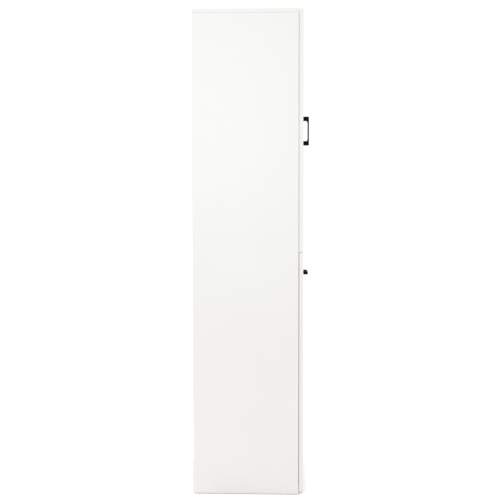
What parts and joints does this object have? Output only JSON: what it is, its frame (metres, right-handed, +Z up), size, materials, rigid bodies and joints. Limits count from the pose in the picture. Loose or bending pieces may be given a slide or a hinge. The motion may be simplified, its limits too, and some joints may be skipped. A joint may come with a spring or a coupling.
{
  "type": "locker cabinet",
  "caption": "Tall narrow white locker cabinet with a side-hung upper door over shelves and a tilt-out lower front carrying a bin, each with a black bow handle.",
  "frame": {"origin": "centre of the footprint, on the floor, at the bottom centre of the whole cabinet's box with its handles", "axes": "+Z up, -Y out of the fronts, +X towards the side that carries the upper door's hinges"},
  "size_m": [0.4, 0.456, 1.9],
  "materials": {
    "white_board": "satin white melamine on particle board",
    "back_board": "thin brown hardboard, lacquered white on its inner face",
    "handle_black": "black powder coat, satin",
    "nickel_steel": "nickel-plated pressed steel",
    "white_plastic": "moulded, matte",
    "grey_plastic": "moulded, matte",
    "clear_rubber": "soft translucent"
  },
  "bodies": {
    "carcass": {"back_panel": "back_board", "bottom_panel": "white_board", "divider_shelf": "white_board", "flap_hinge_fixed_leaf_left": "nickel_steel", "flap_hinge_fixed_leaf_right": "nickel_steel", "foot_glide_front_left": "grey_plastic", "foot_glide_front_right": "grey_plastic", "foot_glide_rear_left": "grey_plastic", "foot_glide_rear_right": "grey_plastic", "hinge_arm_lower": "nickel_steel", "hinge_arm_upper": "nickel_steel", "hinge_plate_lower": "nickel_steel", "hinge_plate_upper": "nickel_steel", "loose_shelf_lower": "white_board", "loose_shelf_upper": "white_board", "magnetic_catch": "white_plastic", "shelf_pin_lower_left_front": "nickel_steel", "shelf_pin_lower_left_rear": "nickel_steel", "shelf_pin_lower_right_front": "nickel_steel", "shelf_pin_lower_right_rear": "nickel_steel", "shelf_pin_upper_left_front": "nickel_steel", "shelf_pin_upper_left_rear": "nickel_steel", "shelf_pin_upper_right_front": "nickel_steel", "shelf_pin_upper_right_rear": "nickel_steel", "side_panel_left": "white_board", "side_panel_right": "white_board", "stop_block_left": "grey_plastic", "stop_block_right": "grey_plastic", "top_panel": "white_board", "wall_bracket": "nickel_steel", "wall_rail": "white_board"},
    "hinge_links": {"hinge_link_lower": "nickel_steel", "hinge_link_upper": "nickel_steel"},
    "upper_door": {"hinge_cup_lower": "nickel_steel", "hinge_cup_upper": "nickel_steel", "strike_plate": "nickel_steel", "upper_door_bumper_lower": "clear_rubber", "upper_door_bumper_upper": "clear_rubber", "upper_door_panel": "white_board", "upper_handle": "handle_black", "upper_handle_screw_lower": "nickel_steel", "upper_handle_screw_upper": "nickel_steel"},
    "tilt_front": {"bin_back": "white_board", "bin_bottom": "white_board", "bin_cheek_left": "white_board", "bin_cheek_right": "white_board", "flap_hinge_tilting_leaf_left": "nickel_steel", "flap_hinge_tilting_leaf_right": "nickel_steel", "lower_handle": "handle_black", "lower_handle_screw_left": "nickel_steel", "lower_handle_screw_right": "nickel_steel", "stop_peg_left": "grey_plastic", "stop_peg_right": "grey_plastic", "tilt_front_bumper_left": "clear_rubber", "tilt_front_bumper_right": "clear_rubber", "tilt_front_panel": "white_board"}
  },
  "joints": [
    {"name": "link_swing", "type": "hinge", "parent": "carcass", "child": "hinge_links", "pos_m": [0.176, -0.1832, 0], "axis": [0, 0, 1], "range_deg": [-31.1, 0]},
    {"name": "door_swing", "type": "hinge", "parent": "hinge_links", "child": "upper_door", "pos_m": [0.19168, -0.19051, 0], "axis": [0, 0, 1], "range_deg": [0, 131]},
    {"name": "front_tilt", "type": "hinge", "parent": "carcass", "child": "tilt_front", "pos_m": [0, -0.186, 0.015], "axis": [1, 0, 0], "range_deg": [0, 25]}
  ],
  "couplings": [
    {"joint": "link_swing", "follows": "door_swing", "ratio": -0.23729}
  ]
}
